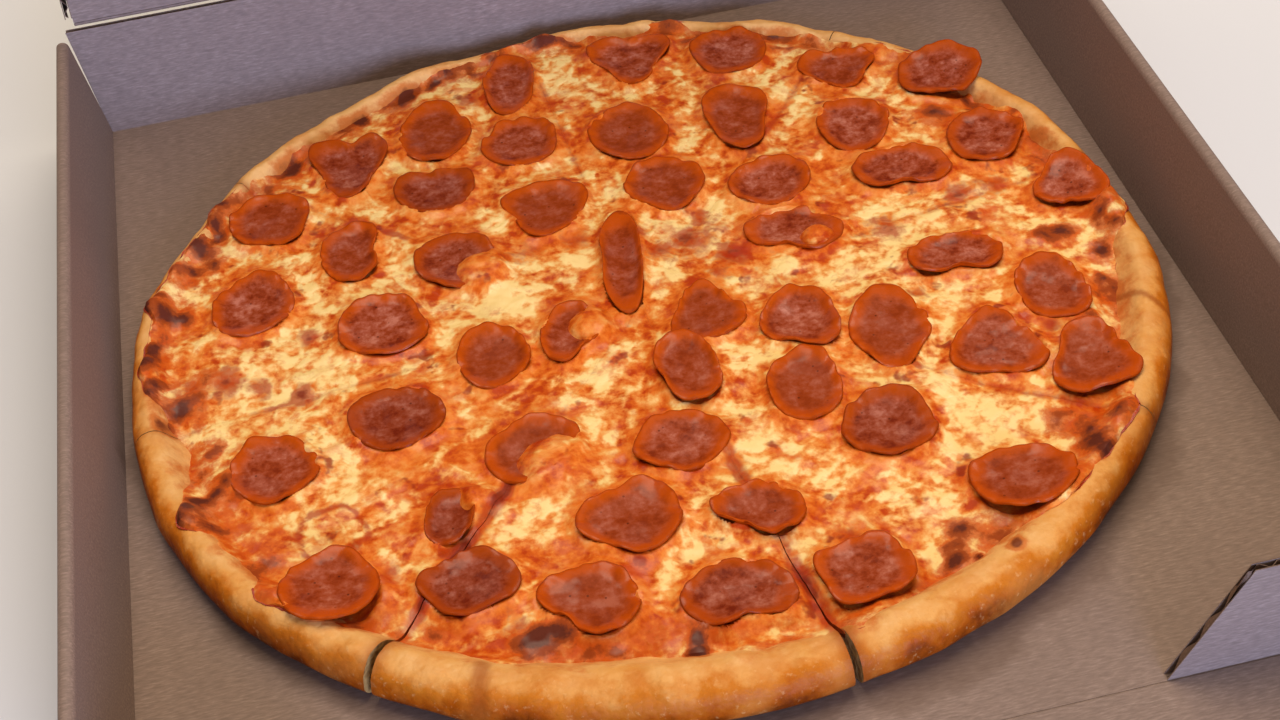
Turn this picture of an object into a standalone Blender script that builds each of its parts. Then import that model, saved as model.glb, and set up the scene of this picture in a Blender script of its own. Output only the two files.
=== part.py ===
"""A large pepperoni pizza, cut in eight, in its open corrugated box.

The tray rests on the ground with its front panel laid down flat. The lid
leans back on the fold along the top of the back wall. The pizza lies on the
floor of the tray, turned a little against it. Metres, Z up.
"""

import math
import random

import bmesh
import bpy
from mathutils import Matrix, Vector
from mathutils.bvhtree import BVHTree

# Board of the box
BOARD = 0.003            # one layer of corrugated board
SIDE_WALL = 0.0055       # side wall, folded over to two layers
FLOOR_HALF = 0.2015      # half the inside width of the floor
FLOOR_DEPTH = 0.4155     # inside depth of the floor
WALL_TOP = 0.053         # top of the walls above the ground
LEAN = 0.14              # how far a wall leans out for each metre up
TAB_REACH = 0.082        # corner tab, from the side wall inwards, at its foot
TAB_SLOPE = 0.024        # how much shorter a tab is at its top
TAB_TOP = 0.047
PANEL_REACH = 0.0525     # front panel, laid down in front of the fold

# Lid
FOLD_GAP = 0.0006        # between the top of the back wall and the lid
LID_OPEN = 102.0         # degrees from closed to the resting pose
FLAP_DEPTH = 0.026       # side flaps of the lid
FRONT_FLAP = 0.0475      # front flap of the lid
FLAP_GAP = 0.0012        # between a closed flap and the wall beside it

# Pizza
PIZZA_AT = (-0.002, 0.00625, 0.0034)
PIZZA_TURN = -7.6        # degrees against the box
RADIUS = 0.197
TOPPING = 0.0085         # height of the topping above the underside
CREST = 0.0145           # mean height of the crust's crest
CUTS = (17, 59, 101.5, 147, 193, 238.5, 286, 331.5)
OPEN_CUTS = (238.5, 286)  # cuts that stand open towards the crust
CUT_GAP = 0.0002         # half the width of a cut
OPEN_GAP = 0.0008        # half the width more where an open cut meets the rim
COLUMNS = 12             # steps across a slice

# Pepperoni
SLICE_THICK = 0.0021
CURL_SHARE = 0.6         # how much of the listed curl stays when it cools
REST_GAP = 0.0004        # between a pepperoni and what it lies on
STEEPEST = 0.16          # slope that a pepperoni takes at most
SEGMENTS = 16

# Where each pepperoni lies on the pizza and how it curled in the oven, in
# millimetres and degrees: x, y, width, depth, form, direction, curl
PEPPERONI = (
    (-45, 156, 26, 40, "leaf", 90, 5),
    (9, 166, 34, 40, "heart", 270, 4),
    (52, 161, 34, 36, "round", 20, 3),
    (97, 138, 32, 29, "triangle", 35, 5),
    (138, 123, 36, 34, "round", 60, 3),
    (-114, 111, 33, 41, "heart", 270, 6),
    (-78, 127, 34, 41, "round", 100, 3),
    (-42, 112, 33, 35, "round", 200, 4),
    (4, 110, 35, 40, "round", 70, 3),
    (50, 114, 31, 44, "drop", 270, 5),
    (97, 97, 33, 37, "round", 140, 3),
    (111, 63, 37, 32, "notch", 270, 5),
    (148, 78, 33, 36, "round", 10, 3),
    (-146, 79, 34, 36, "round", 300, 3),
    (-78, 87, 33, 33, "notch", 90, 4),
    (-33, 68, 35, 38, "drop", 270, 3),
    (16, 72, 34, 36, "round", 160, 3),
    (58, 65, 34, 33, "round", 40, 3),
    (-111, 51, 28, 35, "notch", 0, 5),
    (173, 39, 28, 31, "triangle", 80, 5),
    (-70, 38, 34, 36, "leaf", 150, 5),
    (63, 32, 36, 31, "notch", 250, 4),
    (-150, 27, 34, 38, "round", 215, 3),
    (-5, 26, 20, 46, "leaf", 85, 7),
    (-99, 5, 36, 36, "round", 330, 3),
    (122, 6, 36, 27, "notch", 270, 5),
    (24, -10, 28, 33, "triangle", 100, 4),
    (57, -18, 32, 35, "drop", 315, 5),
    (90, -30, 33, 42, "square", 95, 3),
    (153, -19, 29, 37, "round", 90, 3),
    (-57, -20, 30, 34, "round", 240, 3),
    (-27, -13, 25, 32, "notch", 300, 4),
    (126, -46, 35, 37, "triangle", 205, 3),
    (14, -40, 26, 35, "leaf", 125, 5),
    (55, -55, 30, 36, "round", 190, 3),
    (157, -62, 31, 37, "triangle", 90, 6),
    (-93, -47, 36, 35, "round", 20, 3),
    (-137, -66, 33, 36, "round", 120, 3),
    (-44, -72, 34, 34, "leaf", 215, 5),
    (8, -76, 34, 32, "square", 15, 3),
    (81, -80, 35, 34, "round", 75, 4),
    (-13, -109, 37, 35, "drop", 300, 4),
    (31, -114, 31, 27, "notch", 230, 6),
    (-74, -100, 20, 25, "leaf", 60, 5),
    (-68, -131, 34, 31, "square", 350, 3),
    (-114, -129, 34, 36, "round", 85, 3),
    (-29, -145, 35, 32, "notch", 225, 5),
    (20, -150, 36, 33, "notch", 280, 4),
    (62, -147, 33, 34, "square", 330, 3),
    (121, -116, 36, 34, "round", 150, 3),
)


def clear_scene():
    for old in list(bpy.data.objects):
        bpy.data.objects.remove(old, do_unlink=True)


def paint(name, colour, roughness):
    """One plain Principled material."""
    mat = bpy.data.materials.new(name)
    mat.use_nodes = True
    shader = mat.node_tree.nodes["Principled BSDF"]
    shader.inputs["Base Color"].default_value = (*colour, 1.0)
    shader.inputs["Roughness"].default_value = roughness
    shader.inputs["Metallic"].default_value = 0.0
    return mat


def add_object(name, mesh, mat, parent=None):
    obj = bpy.data.objects.new(name, mesh)
    bpy.context.scene.collection.objects.link(obj)
    mesh.materials.append(mat)
    obj.parent = parent
    return obj


def mesh_from(name, points, faces):
    """A closed mesh with its faces turned outwards."""
    bm = bmesh.new()
    verts = [bm.verts.new(p) for p in points]
    for face in faces:
        bm.faces.new([verts[i] for i in face])
    bmesh.ops.recalc_face_normals(bm, faces=bm.faces[:])
    mesh = bpy.data.meshes.new(name)
    bm.to_mesh(mesh)
    bm.free()
    return mesh


def stack(name, levels):
    """A solid of rectangles (x0, x1, y0, y1, z) laid one above another."""
    points = []
    faces = []
    for x0, x1, y0, y1, z in levels:
        points += [(x0, y0, z), (x1, y0, z), (x1, y1, z), (x0, y1, z)]
    last = len(levels) - 1
    for k in range(last):
        low = 4 * k
        for i in range(4):
            j = (i + 1) % 4
            faces.append((low + i, low + j, low + 4 + j, low + 4 + i))
    faces.append((0, 3, 2, 1))
    faces.append(tuple(4 * last + i for i in range(4)))
    obj = bpy.data.objects.new(name, mesh_from(name, points, faces))
    bpy.context.scene.collection.objects.link(obj)
    return obj


def join_solids(target, others):
    """One Boolean union of a solid with a collection of others."""
    group = bpy.data.collections.new(target.name + "_parts")
    bpy.context.scene.collection.children.link(group)
    for obj in others:
        bpy.context.scene.collection.objects.unlink(obj)
        group.objects.link(obj)
    union = target.modifiers.new("union", "BOOLEAN")
    union.operation = "UNION"
    union.operand_type = "COLLECTION"
    union.solver = "EXACT"
    union.collection = group
    depsgraph = bpy.context.evaluated_depsgraph_get()
    joined = bpy.data.meshes.new_from_object(target.evaluated_get(depsgraph))
    target.modifiers.clear()
    target.data = joined
    joined.name = target.name
    for obj in others:
        bpy.data.objects.remove(obj, do_unlink=True)
    bpy.data.collections.remove(group)
    return target


def wall_face(start, z):
    """Where a leaning wall's inner face stands at height z."""
    return start + LEAN * (z - BOARD)


def make_tray(mat):
    half_depth = FLOOR_DEPTH / 2
    shoulder = WALL_TOP - 0.0015

    floor = stack("tray", [
        (-FLOOR_HALF - BOARD, FLOOR_HALF + BOARD, -half_depth, half_depth + BOARD, z)
        for z in (0.0, BOARD)])
    panel = stack("panel", [
        (-FLOOR_HALF + 0.002, FLOOR_HALF - 0.002, -half_depth - PANEL_REACH, -half_depth + 0.001, z)
        for z in (0.0, BOARD)])

    levels = ((0.0, 0.0), (shoulder, 0.0), (WALL_TOP, 0.0012))
    walls = []
    for side in (-1, 1):
        rows = []
        for z, trim in levels:
            inner = wall_face(FLOOR_HALF, z) + trim
            outer = wall_face(FLOOR_HALF, z) + SIDE_WALL - trim
            ends = sorted((side * inner, side * outer))
            rows.append((*ends, -half_depth, wall_face(half_depth, z) + BOARD, z))
        walls.append(stack("side", rows))
    rows = []
    for z in (0.0, WALL_TOP):
        reach = wall_face(FLOOR_HALF, min(z, shoulder)) + 0.001
        face = wall_face(half_depth, z)
        rows.append((-reach, reach, face, face + BOARD, z))
    walls.append(stack("back", rows))

    for side in (-1, 1):
        rows = []
        for z, reach in ((BOARD - 0.001, TAB_REACH), (TAB_TOP, TAB_REACH - TAB_SLOPE)):
            ends = sorted((side * (FLOOR_HALF - reach), side * (wall_face(FLOOR_HALF, z) + 0.001)))
            rows.append((*ends, -half_depth, -half_depth + BOARD, z))
        walls.append(stack("tab", rows))

    tray = join_solids(floor, [panel] + walls)
    tray.data.materials.clear()
    tray.data.materials.append(mat)
    return tray


def make_lid(mat):
    """The lid about its fold, modelled closed and then swung open."""
    half_depth = FLOOR_DEPTH / 2
    fold_y = wall_face(half_depth, WALL_TOP) + BOARD / 2
    fold_z = WALL_TOP + FOLD_GAP + BOARD / 2
    length = fold_y + half_depth + 0.0015 + BOARD
    half = BOARD / 2
    edge = wall_face(FLOOR_HALF, fold_z) - FLAP_GAP - 0.0004

    lid = stack("lid", [(-edge, edge, -length, 0.0, z) for z in (-half, half)])
    flaps = []
    for side in (-1, 1):
        rows = []
        for z in (-half - FLAP_DEPTH, half):
            outer = edge + LEAN * z - LEAN * half
            ends = sorted((side * outer, side * (outer - BOARD)))
            short = 0.014 if z < 0 else 0.010
            rows.append((*ends, -length + short + 0.004, -short, z))
        flaps.append(stack("flap", rows))
    flaps.append(stack("front", [
        (-edge + trim, edge - trim, -length, -length + BOARD, z)
        for z, trim in ((-half - FRONT_FLAP, 0.006), (half, 0.0))]))
    join_solids(lid, flaps)
    lid.data.materials.clear()
    lid.data.materials.append(mat)
    lid.location = (0.0, fold_y, fold_z)
    lid.rotation_euler = (-math.radians(LID_OPEN), 0.0, 0.0)
    return lid


def wave(seed, count, shortest, longest):
    """A smooth seeded relief over the plane, between about -1 and 1."""
    draw = random.Random(seed)
    terms = []
    for _ in range(count):
        heading = draw.uniform(0, math.tau)
        turns = math.tau / draw.uniform(shortest, longest)
        terms.append((turns * math.cos(heading), turns * math.sin(heading), draw.uniform(0, math.tau)))

    def height(x, y):
        total = sum(math.sin(a * x + b * y + c) for a, b, c in terms)
        return total / (0.6 * count)
    return height


CHEESE_LUMPS = wave(11, 9, 0.024, 0.060)
CRUST_LUMPS = wave(12, 7, 0.045, 0.110)
OUTLINE = wave(13, 5, 0.120, 0.260)


def crust(angle):
    """Radius, bare width and crest height of the crust at an angle."""
    c, s = math.cos(angle), math.sin(angle)
    swell = math.cos(angle - math.radians(278))
    radius = RADIUS + 0.0011 * OUTLINE(RADIUS * c, RADIUS * s)
    bare = 0.0150 + 0.009 * swell
    crest = CREST + 0.0025 * swell + 0.0009 * CRUST_LUMPS(RADIUS * c, RADIUS * s)
    return radius, bare, crest


def top_height(x, y):
    """Height of the cheese inside the crust."""
    return TOPPING + 0.0007 * CHEESE_LUMPS(x, y)


def profile(angle):
    """Radius and height from near the tip, over the top and back below."""
    radius, bare, crest = crust(angle)
    start = radius - bare - 0.004
    c, s = math.cos(angle), math.sin(angle)
    line = []
    for part in (0.2, 0.38, 0.56, 0.72, 0.86, 1.0):
        r = start * part
        line.append((r, top_height(r * c, r * s)))
    rim = radius - start
    for part, high in ((0.22, 0.80), (0.5, 1.0), (0.75, 0.93), (0.92, 0.70), (1.0, 0.40)):
        line.append((start + rim * part, crest * high))
    line.append((radius - 0.0025, 0.0012))
    line.append((radius - 0.0075, 0.0))
    line.append((start * 0.5, 0.0))
    return line


def cut_offset(cut, r):
    """Half the width of a cut at radius r."""
    extra = OPEN_GAP * r / RADIUS if cut in OPEN_CUTS else 0.0
    return CUT_GAP + extra


def make_slice(index, parent, mat):
    """One wedge of pizza between two cuts."""
    first = CUTS[index]
    second = CUTS[(index + 1) % len(CUTS)]
    low = math.radians(first)
    high = math.radians(second if second > first else second + 360)
    middle = (low + high) / 2
    tip = CUT_GAP * 1.6 / math.sin((high - low) / 2)
    c, s = math.cos(middle), math.sin(middle)
    points = [(tip * c, tip * s, top_height(0, 0)), (tip * c, tip * s, 0.0)]

    count = 0
    for column in range(COLUMNS + 1):
        t = column / COLUMNS
        line = profile(low + t * (high - low))
        count = len(line)
        for r, z in line:
            start = low + math.asin(cut_offset(first, r) / r)
            end = high - math.asin(cut_offset(second, r) / r)
            angle = start + t * (end - start)
            points.append((r * math.cos(angle), r * math.sin(angle), z))

    faces = []
    for column in range(COLUMNS):
        a = 2 + column * count
        b = a + count
        faces.append((0, a, b))
        faces.append((1, b + count - 1, a + count - 1))
        for k in range(count - 1):
            faces.append((a + k, a + k + 1, b + k + 1))
            faces.append((a + k, b + k + 1, b + k))
    for column, order in ((0, 1), (COLUMNS, -1)):
        a = 2 + column * count
        ring = [0] + [a + k for k in range(count)] + [1]
        faces.append(tuple(ring[::order]))
    name = "slice_%d" % (index + 1)
    return add_object(name, mesh_from(name, points, faces), mat, parent)


def outline(form, phi):
    """Outline of a curled pepperoni, as a factor on its half width."""
    away = abs((math.degrees(phi) + 180) % 360 - 180)
    if form == "leaf":
        return 1.0 + 0.07 * math.cos(2 * phi)
    if form == "triangle":
        return 0.98 + 0.14 * math.cos(3 * phi)
    if form == "square":
        return 0.99 + 0.08 * math.cos(4 * phi)
    if form == "drop":
        return 0.97 + 0.11 * math.cos(phi) + 0.09 * math.cos(3 * phi)
    if form == "notch":
        return 1.03 - 0.42 * math.exp(-(away / 30) ** 2)
    if form == "heart":
        return 0.98 + 0.15 * math.cos(3 * phi) - 0.26 * math.exp(-((180 - away) / 30) ** 2)
    return 1.0 + 0.03 * math.cos(3 * phi)


def curl_height(form, curl, rho, phi):
    """How far a pepperoni's edge stands up, at a share rho of its radius."""
    if form == "leaf":
        side = math.sin(phi)
        return curl * rho ** 2 * (0.25 + 0.75 * side * side)
    if form in ("notch", "triangle", "heart"):
        toward = math.cos(phi) if form != "heart" else -math.cos(phi)
        return curl * rho ** 2.2 * (0.62 + 0.38 * toward)
    return curl * rho ** 2.4 * (0.8 + 0.2 * math.cos(2 * phi))


def pepperoni_points(row):
    """Upper and lower points, by rings from the rim to the middle."""
    x, y, width, depth, form, direction, curl = row
    draw = random.Random(int(x * 7 + y * 13))
    turn = math.radians(direction)
    upper = []
    lobes = [(n, draw.uniform(0.015, 0.04), draw.uniform(0, math.tau)) for n in (2, 4, 5)]
    wobble = [1 + sum(size * math.cos(n * math.tau * k / SEGMENTS + start) for n, size, start in lobes)
              for k in range(SEGMENTS)]
    for rho in (1.0, 0.62):
        for k in range(SEGMENTS):
            phi = math.tau * k / SEGMENTS
            reach = rho * outline(form, phi) * wobble[k]
            px = reach * math.cos(phi + turn) * width / 2000
            py = reach * math.sin(phi + turn) * depth / 2000
            upper.append((px, py, CURL_SHARE * curl_height(form, curl, rho, phi) / 1000))
    upper.append((0.0, 0.0, 0.0))
    return upper


def lean_to(points, tilt_x, tilt_y):
    return [Vector((x, y, z + tilt_x * x + tilt_y * y)) for x, y, z in points]


def rest_heights(below, x, y, points):
    """Sample places under a pepperoni, with the surface height at each."""
    samples = []
    ring, inner, middle = points[:SEGMENTS], points[SEGMENTS:-1], points[-1]
    for k in range(SEGMENTS):
        j = (k + 1) % SEGMENTS
        for a, b, c in ((ring[k], ring[j], inner[k]), (ring[j], inner[j], inner[k]),
                        (inner[k], inner[j], middle)):
            for u in range(6):
                for v in range(6 - u):
                    w = 5 - u - v
                    p = (Vector(a) * u + Vector(b) * v + Vector(c) * w) / 5
                    hit = below.ray_cast(Vector((x + p.x, y + p.y, 0.2)), Vector((0, 0, -1)))
                    if hit[0] is not None and hit[0].z > 0.004:
                        samples.append((p.x, p.y, p.z, hit[0].z))
    return samples


def fit_slope(samples):
    """Slope of the plane nearest to the sampled surface."""
    n = len(samples)
    mx = sum(s[0] for s in samples) / n
    my = sum(s[1] for s in samples) / n
    mz = sum(s[3] for s in samples) / n
    xx = sum((s[0] - mx) ** 2 for s in samples)
    yy = sum((s[1] - my) ** 2 for s in samples)
    xy = sum((s[0] - mx) * (s[1] - my) for s in samples)
    xz = sum((s[0] - mx) * (s[3] - mz) for s in samples)
    yz = sum((s[1] - my) * (s[3] - mz) for s in samples)
    det = xx * yy - xy * xy
    slope = Vector(((xz * yy - yz * xy) / det, (yz * xx - xz * xy) / det))
    if slope.length > STEEPEST:
        slope *= STEEPEST / slope.length
    return slope


def make_pepperoni(number, row, below, parent, mat):
    """A thin curled slice laid on the cheese and on its neighbours."""
    x, y = row[0] / 1000, row[1] / 1000
    flat = pepperoni_points(row)
    slope = fit_slope(rest_heights(below, x, y, flat))
    shape = lean_to(flat, *slope)
    lift = max(high - z for _, _, z, high in rest_heights(below, x, y, shape))
    base = lift + REST_GAP

    points = [p + Vector((0, 0, SLICE_THICK)) for p in shape] + list(shape)
    size = len(shape)
    faces = []
    for shift, order in ((0, 1), (size, -1)):
        for k in range(SEGMENTS):
            j = (k + 1) % SEGMENTS
            rim_a, rim_b = shift + k, shift + j
            in_a, in_b = shift + SEGMENTS + k, shift + SEGMENTS + j
            faces.append((rim_a, rim_b, in_a)[::order])
            faces.append((rim_b, in_b, in_a)[::order])
            faces.append((in_a, in_b, shift + size - 1)[::order])
    for k in range(SEGMENTS):
        j = (k + 1) % SEGMENTS
        faces.append((k, size + k, size + j, j))
    name = "pepperoni_%02d" % number
    obj = add_object(name, mesh_from(name, points, faces), mat, parent)
    obj.location = (x, y, base)
    return obj


def surface_of(objects):
    """A search tree over the meshes, in the pizza's own space."""
    verts = []
    faces = []
    for obj in objects:
        start = len(verts)
        place = Matrix.Translation(obj.location)
        verts += [place @ v.co for v in obj.data.vertices]
        faces += [tuple(start + i for i in f.vertices) for f in obj.data.polygons]
    return BVHTree.FromPolygons(verts, faces)


def main():
    clear_scene()
    board = paint("kraft_board", (0.300, 0.176, 0.098), 0.85)
    baked = paint("baked_pizza", (0.776, 0.445, 0.156), 0.60)
    meat = paint("pepperoni_meat", (0.376, 0.080, 0.028), 0.45)

    make_tray(board)
    make_lid(board)

    pizza = bpy.data.objects.new("pizza", None)
    bpy.context.scene.collection.objects.link(pizza)
    pizza.location = PIZZA_AT
    pizza.rotation_euler = (0.0, 0.0, math.radians(PIZZA_TURN))

    placed = [make_slice(k, pizza, baked) for k in range(len(CUTS))]
    for number, row in enumerate(PEPPERONI, 1):
        placed.append(make_pepperoni(number, row, surface_of(placed), pizza, meat))


main()
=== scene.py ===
# %% [markdown]
# # A pepperoni pizza in its box
# The solids of the part are loaded as a fixed frame. Everything that is
# modelled below is dressed round them, so that it lies where they lie and
# moves as they move. All lengths are metres and Z points up.

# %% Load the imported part
import math
import random
import bpy
import numpy as np
from mathutils import Matrix, Vector, noise


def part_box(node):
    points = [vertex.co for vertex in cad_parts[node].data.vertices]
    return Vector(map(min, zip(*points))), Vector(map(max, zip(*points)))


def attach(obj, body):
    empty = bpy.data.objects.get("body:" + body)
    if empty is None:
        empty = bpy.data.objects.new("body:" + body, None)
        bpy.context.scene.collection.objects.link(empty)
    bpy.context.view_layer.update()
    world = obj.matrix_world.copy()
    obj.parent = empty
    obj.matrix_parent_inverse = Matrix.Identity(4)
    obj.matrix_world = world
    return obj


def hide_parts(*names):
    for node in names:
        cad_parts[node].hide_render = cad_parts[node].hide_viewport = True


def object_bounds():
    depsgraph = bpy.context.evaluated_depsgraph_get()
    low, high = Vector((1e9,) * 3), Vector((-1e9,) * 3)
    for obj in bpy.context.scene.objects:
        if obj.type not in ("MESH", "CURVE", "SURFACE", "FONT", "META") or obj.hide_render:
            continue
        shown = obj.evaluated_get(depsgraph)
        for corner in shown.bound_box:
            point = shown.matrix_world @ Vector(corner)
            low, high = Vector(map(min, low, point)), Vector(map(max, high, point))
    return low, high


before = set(bpy.data.objects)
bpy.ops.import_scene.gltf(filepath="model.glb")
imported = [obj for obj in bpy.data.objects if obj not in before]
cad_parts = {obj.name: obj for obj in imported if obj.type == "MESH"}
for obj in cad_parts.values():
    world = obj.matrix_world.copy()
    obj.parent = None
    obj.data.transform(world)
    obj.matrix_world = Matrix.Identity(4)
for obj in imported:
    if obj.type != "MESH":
        bpy.data.objects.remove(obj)
CAD_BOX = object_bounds()
NODES = {name: bpy.data.objects[name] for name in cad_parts}
print("nodes:", len(NODES), "box:", [[round(v, 4) for v in corner] for corner in CAD_BOX])

# %% [markdown]
# ## Where the pizza lies
# The pizza was slid into the tray by hand, so it sits a little off the
# middle and turned against the box. It is modelled about its own middle,
# and one matrix then puts each finished piece in the tray. This keeps the
# maths of a round thing simple.

# %% The pizza's own space
PIZZA = Matrix.Translation((-0.002, 0.00625, 0.0034)) @ Matrix.Rotation(math.radians(-7.6), 4, "Z")
RADIUS = 0.197
TOPPING = 0.0085
CREST = 0.0145
HIGH_SIDE = 278  # degrees, where the crust is widest and highest
CUTS = (17, 59, 101.5, 147, 193, 238.5, 286, 331.5)
OPEN_CUTS = (238.5, 286)


def wave(seed, count, shortest, longest):
    """A smooth seeded relief over the plane, the same as in the solids."""
    draw = random.Random(seed)
    terms = []
    for _ in range(count):
        heading = draw.uniform(0, math.tau)
        turns = math.tau / draw.uniform(shortest, longest)
        terms.append((turns * math.cos(heading), turns * math.sin(heading), draw.uniform(0, math.tau)))

    def height(x, y):
        return sum(math.sin(a * x + b * y + c) for a, b, c in terms) / (0.6 * count)
    return height


CHEESE_LUMPS = wave(11, 9, 0.024, 0.060)
CRUST_LUMPS = wave(12, 7, 0.045, 0.110)
OUTLINE = wave(13, 5, 0.120, 0.260)


# How much of the crust the cheese leaves bare: degrees and millimetres
BARE = (
    (0, 15), (3, 8), (7, 3), (12, 8), (19, 11), (24, 14), (30, 10), (36, 13), (42, 12), (48, 8), (60, 8),
    (66, 10), (72, 10), (78, 8), (82, 6), (88, 8), (94, 8), (100, 5), (106, 6), (112, 8), (128, 9),
    (142, 9), (148, 7), (152, 4), (156, 7), (162, 7), (167, 6), (171, 3), (174, 8), (179, 8), (182, 5),
    (186, 9), (191, 14), (196, 20), (200, 16), (204, 12), (209, 6), (213, 12), (217, 12), (220, 14),
    (224, 8), (227, 10), (230, 11), (233, 15), (236, 19), (239, 17), (244, 21), (248, 19), (252, 18),
    (255, 24), (259, 26), (262, 24), (266, 28), (270, 25), (274, 25), (277, 17), (281, 20), (285, 15),
    (288, 13), (291, 16), (295, 19), (300, 20), (304, 19), (308, 19), (312, 15), (316, 12), (320, 11),
    (326, 9), (331, 8), (334, 12), (338, 18), (344, 18), (350, 19), (356, 17), (360, 15))


def bare_at(angle):
    """Width of the bare crust at an angle, eased from one measure to the next."""
    turn = math.degrees(angle) % 360
    for (first, wide), (last, next_wide) in zip(BARE, BARE[1:]):
        if turn <= last:
            t = (turn - first) / (last - first)
            return wide + (next_wide - wide) * t * t * (3 - 2 * t)
    return BARE[-1][1]


RIM_WIDTHS = [sum(bare_at(math.radians(turn + off)) for off in range(-18, 19, 3)) / 13
              for turn in range(361)]


def crust(angle):
    """Radius, width of the rim and height of its crest at an angle.

    The width is halfway between the measured one and that of the solids.
    """
    c, s = math.cos(angle), math.sin(angle)
    swell = math.cos(angle - math.radians(HIGH_SIDE))
    radius = RADIUS + 0.0011 * OUTLINE(RADIUS * c, RADIUS * s)
    crest = CREST + 0.0025 * swell + 0.0009 * CRUST_LUMPS(RADIUS * c, RADIUS * s)
    turn = math.degrees(angle) % 360
    below = int(turn)
    width = RIM_WIDTHS[below] + (RIM_WIDTHS[below + 1] - RIM_WIDTHS[below]) * (turn - below)
    solid_width = 0.0150 + 0.009 * swell
    return radius, 0.5 * (max(0.0065, width / 1000) + solid_width), crest


print("crust at the front:", [round(v, 4) for v in crust(math.radians(270))])

# %% [markdown]
# ## The camera
# The camera stands in front of the box and looks down on it at about 42
# degrees, rolled a little, so the right side of the box stands higher in
# the picture. It is set in the pizza's own space and then carried along.

# %% Place the camera
CAMERA_AT = (-0.0028, -0.5834, 0.5148)
LOOKS_DOWN = 42.39
ROLL = -6.92

lens = bpy.data.cameras.new("camera")
lens.sensor_width = 36.0
lens.lens = 57.0
lens.clip_start = 0.01
lens.clip_end = 50.0
camera = bpy.data.objects.new("camera", lens)
bpy.context.scene.collection.objects.link(camera)
tilt = Matrix.Rotation(math.radians(90 - LOOKS_DOWN), 4, "X") @ Matrix.Rotation(math.radians(ROLL), 4, "Z")
camera.matrix_world = PIZZA @ Matrix.Translation(CAMERA_AT) @ tilt
bpy.context.scene.camera = camera
print("camera at", [round(v, 3) for v in camera.matrix_world.translation])

# %% [markdown]
# ## Floor and light
# A pale floor carries the box. A large soft lamp above and a little behind
# lights the pizza as a window would. A weak one in front opens the shadows.
# A wide bluish one, low and far in front, stands for the sky and cools the
# upright board, and a pale world fills the rest.

# %% Floor, lamps and sky


def edit_all():
    """Edit mode, with the whole mesh selected."""
    bpy.ops.object.mode_set(mode="EDIT")
    bpy.ops.mesh.select_all(action="SELECT")


def leave_edit():
    bpy.ops.object.mode_set(mode="OBJECT")


def deselect():
    """Nothing stays selected, so that an operator finds only its own mesh."""
    if bpy.context.object and bpy.context.object.mode != "OBJECT":
        leave_edit()
    for obj in bpy.context.selected_objects:
        obj.select_set(False)


def pick(*pieces):
    """Select these pieces alone, the first one as the active one."""
    deselect()
    for piece in pieces:
        piece.select_set(True)
    bpy.context.view_layer.objects.active = pieces[0]


def rgb(red, green, blue):
    """A colour as seen on a screen, 0 to 255, made linear."""
    return tuple((v / 255 / 12.92) if v <= 10 else ((v / 255 + 0.055) / 1.055) ** 2.4
                 for v in (red, green, blue)) + (1.0,)


def lamp(name, place, aim, size, watts, colour):
    """A round soft lamp that looks at a point."""
    light = bpy.data.lights.new(name, "AREA")
    light.shape = "DISK"
    light.size = size
    light.energy = watts
    light.color = rgb(*colour)[:3]
    obj = bpy.data.objects.new(name, light)
    bpy.context.scene.collection.objects.link(obj)
    obj.location = place
    obj.rotation_euler = (Vector(aim) - Vector(place)).to_track_quat("-Z", "Y").to_euler()


lamp("window", (0.10, 0.45, 1.25), (0, 0, 0), 1.5, 22, (255, 238, 212))
lamp("room", (0.6, -1.1, 1.3), (0, 0, 0), 1.6, 4, (255, 240, 220))
lamp("sky_low", (0.60, -3.9, 0.60), (0, 0.2, 0.05), 2.2, 280, (172, 196, 255))
world = bpy.data.worlds.new("pale sky")
world.use_nodes = True
sky = world.node_tree.nodes["Background"]
sky.inputs["Color"].default_value = rgb(222, 216, 218)
sky.inputs["Strength"].default_value = 0.32
bpy.context.scene.world = world
bpy.context.scene.view_settings.view_transform = "Standard"

deselect()
bpy.ops.mesh.primitive_plane_add(size=5)
floor = bpy.context.object
floor.name = "floor"
floor.data.materials.append(bpy.data.materials.new("pale_floor"))
floor.data.materials[0].use_nodes = True
paint = floor.data.materials[0].node_tree.nodes["Principled BSDF"]
paint.inputs["Base Color"].default_value = rgb(214, 213, 212)
paint.inputs["Roughness"].default_value = 0.7
floor.location.z = CAD_BOX[0][2] - 0.0002

# %% [markdown]
# ## Tools for materials
# A material here is a small graph of nodes. These helpers add a node and
# join its sockets in one line, so that each finish below reads as a recipe.
# A socket knows the tree that it is in, so most helpers find it there.

# %% Helpers for nodes


def feed(made, inputs):
    """Link each input to a socket, or set it to a number or colour."""
    for key, value in inputs.items():
        if isinstance(value, bpy.types.NodeSocket):
            made.id_data.links.new(value, made.inputs[key])
        else:
            made.inputs[key].default_value = value


def node(tree, kind, settings=None, inputs=None):
    """Add a node, set its properties and feed its inputs."""
    made = tree.nodes.new("ShaderNode" + kind)
    for key, value in (settings or {}).items():
        setattr(made, key, value)
    feed(made, inputs or {})
    return made


def calc(operation, first, second, third=0.0):
    """Arithmetic on a socket and one or two more sockets or numbers."""
    made = node(first.id_data, "Math", {"operation": operation}, {0: first, 1: second, 2: third})
    return made.outputs[0]


def blend(share, low, high):
    """The low colour where the share is 0, the high one where it is 1."""
    return node(share.id_data, "Mix", {"data_type": "RGBA"}, {0: share, 6: low, 7: high}).outputs[2]


def stain(base, mask, share, colour):
    """Lay a colour over the base where a mask is, as strongly as the share."""
    return blend(calc("MULTIPLY", mask, share), base, rgb(*colour))


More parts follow.
